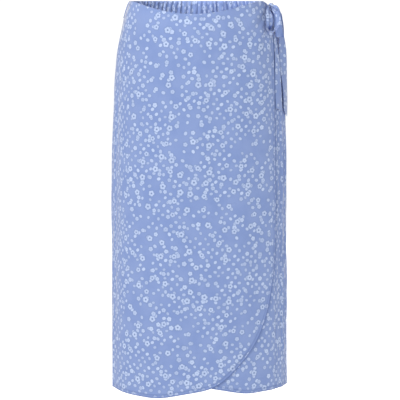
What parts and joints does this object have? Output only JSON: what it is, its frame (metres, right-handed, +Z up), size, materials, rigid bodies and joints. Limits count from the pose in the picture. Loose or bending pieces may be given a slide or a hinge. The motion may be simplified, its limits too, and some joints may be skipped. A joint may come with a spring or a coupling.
{
  "type": "wrap skirt",
  "caption": "Midi wrap skirt of printed cloth, filled out as worn: overlapping front panels with rounded corners, gathered elastic back waistband and a side bow.",
  "frame": {"origin": "centre of the waist opening, level with the top edge of the back waistband, where the wearer holds the skirt", "axes": "+Z up, -Y towards the front, +X towards the wearer's left, where the bow is"},
  "size_m": [0.3592, 0.2478, 0.7929],
  "materials": {
    "printed_viscose": "matt woven viscose, mid blue with a small white floral print"
  },
  "bodies": {
    "root": {"front_overlap": "printed_viscose", "front_underlap": "printed_viscose", "back_panel": "printed_viscose", "back_waistband": "printed_viscose", "tie_knot": "printed_viscose", "tie_loop_front": "printed_viscose", "tie_loop_side": "printed_viscose", "tie_tail_front": "printed_viscose", "tie_tail_side": "printed_viscose", "tie_side_strap": "printed_viscose"}
  },
  "joints": []
}
